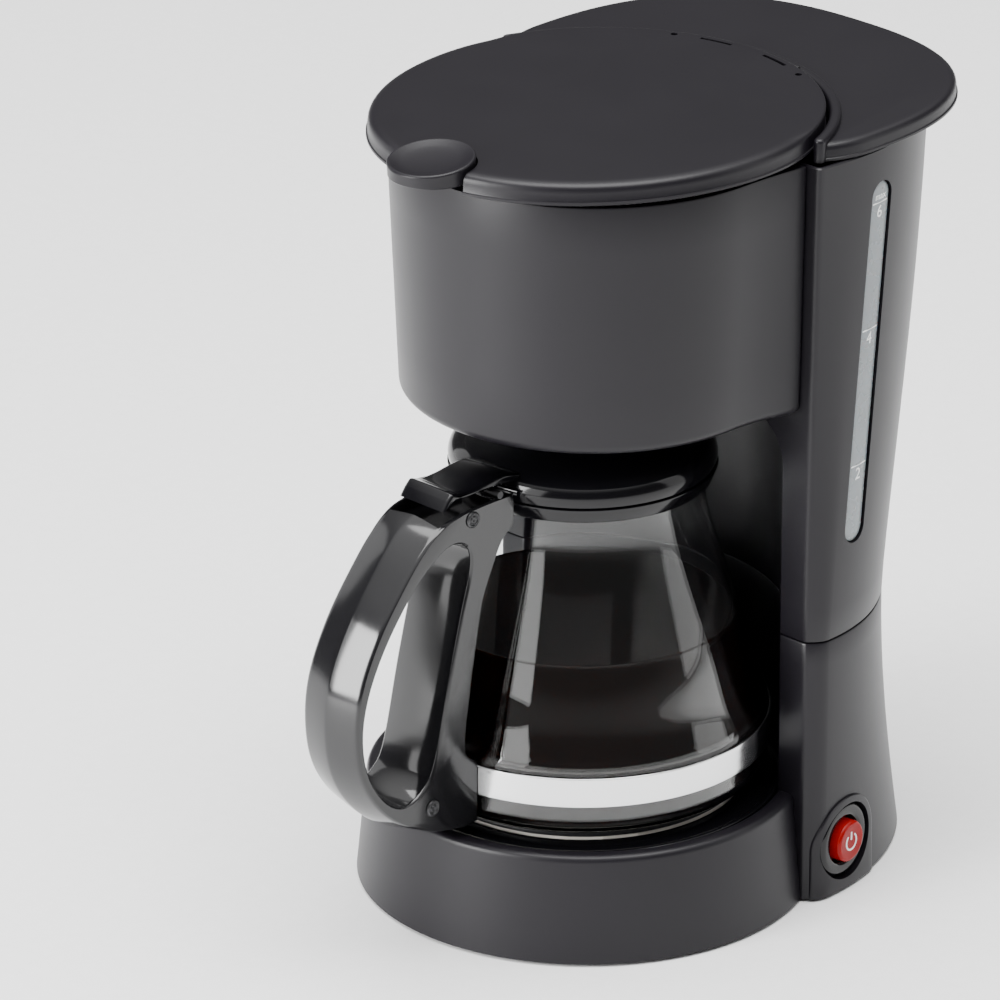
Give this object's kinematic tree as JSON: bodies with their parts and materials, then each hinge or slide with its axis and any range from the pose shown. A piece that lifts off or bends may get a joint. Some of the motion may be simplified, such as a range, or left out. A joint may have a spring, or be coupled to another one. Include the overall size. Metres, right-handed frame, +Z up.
{
  "type": "drip coffee maker",
  "caption": "Compact drip coffee maker: waisted rear tower with water tank and level gauge, overhanging brew head with hinged lid, warming plate and glass carafe with a loop handle.",
  "frame": {"origin": "bottom centre of the whole object, on the surface it stands on", "axes": "+Z up, -Y towards the front where the carafe handle points, +X the side with the switch and the water gauge"},
  "size_m": [0.1422, 0.2334, 0.2526],
  "materials": {
    "body_plastic": "satin, finely textured",
    "gloss_plastic": "polished",
    "rubber": "matte",
    "silicone": "translucent matte",
    "steel": "bright, finely brushed round the band",
    "aluminium": "as cast",
    "plate": "non-stick coating",
    "screw_steel": "blackened",
    "filter_mesh": "fine woven mesh",
    "glass": "clear, polished",
    "coffee": "clear dark liquid",
    "gauge_window": "grey, slightly translucent",
    "gauge_marks": "printed white",
    "rocker_red": "red, translucent, lit from inside",
    "white_plastic": "satin"
  },
  "bodies": {
    "machine": {"base_shell": "body_plastic", "base_plate": "body_plastic", "water_tank": "body_plastic", "tower_shell": "body_plastic", "brew_head_shell": "body_plastic", "filter_basket": "body_plastic", "rear_cover": "body_plastic", "plate_surround": "gloss_plastic", "switch_bezel": "gloss_plastic", "foot_front_left": "rubber", "foot_front_right": "rubber", "foot_rear_left": "rubber", "foot_rear_right": "rubber", "cord_gland": "rubber", "plate_seal": "silicone", "inlet_tube": "silicone", "riser_tube": "silicone", "heater_clamp": "steel", "heater_stud": "steel", "clamp_nut": "steel", "lid_pin_left": "steel", "lid_pin_right": "steel", "heater_block": "aluminium", "boiler_tube": "aluminium", "thermostat": "aluminium", "warming_plate": "plate", "base_screw_1": "screw_steel", "base_screw_2": "screw_steel", "base_screw_3": "screw_steel", "base_screw_4": "screw_steel", "mesh_filter": "filter_mesh", "water_gauge": "gauge_window", "thermal_fuse": "white_plastic", "check_valve": "white_plastic", "switch_body": "white_plastic", "shower_arm": "white_plastic"},
    "lid": {"lid_shell": "body_plastic", "lid_tab": "body_plastic"},
    "rocker": {"rocker_button": "rocker_red"},
    "carafe": {"carafe_glass": "glass", "carafe_band": "steel", "carafe_collar": "gloss_plastic", "carafe_handle": "gloss_plastic", "handle_screw_upper": "steel", "handle_screw_lower": "steel", "carafe_lid_pin": "steel"},
    "pouring_lid": {"carafe_lid": "gloss_plastic"},
    "valve": {"drip_valve": "body_plastic", "valve_seal": "silicone", "valve_spring": "steel"},
    "ball": {"check_ball": "steel"}
  },
  "joints": [
    {"name": "lid_hinge", "type": "hinge", "parent": "machine", "child": "lid", "pos_m": [-0.00052, 0.06451, 0.248], "axis": [-1, 0, 0], "range_deg": [0, 85]},
    {"name": "power_rocker", "type": "hinge", "parent": "machine", "child": "rocker", "pos_m": [0.06802, 0.03801, 0.0166], "axis": [-0.1374, 0.9905, 0], "range_deg": [0, 10]},
    {"name": "carafe_slide", "type": "slide", "parent": "machine", "child": "carafe", "axis": [0, -1, 0], "range_m": [0, 0.16]},
    {"name": "carafe_lid_hinge", "type": "hinge", "parent": "carafe", "child": "pouring_lid", "pos_m": [-0.00052, -0.05449, 0.1425], "axis": [1, 0, 0], "range_deg": [0, 2.8]},
    {"name": "drip_valve_slide", "type": "slide", "parent": "machine", "child": "valve", "axis": [0, 0, -1], "range_m": [0, 0.004], "deforming": ["valve_spring"]},
    {"name": "check_ball_slide", "type": "slide", "parent": "machine", "child": "ball", "axis": [0, 0, 1], "range_m": [0, 0.004]}
  ],
  "couplings": [
    {"joint": "drip_valve_slide", "follows": "carafe_slide", "ratio": 0.025}
  ]
}
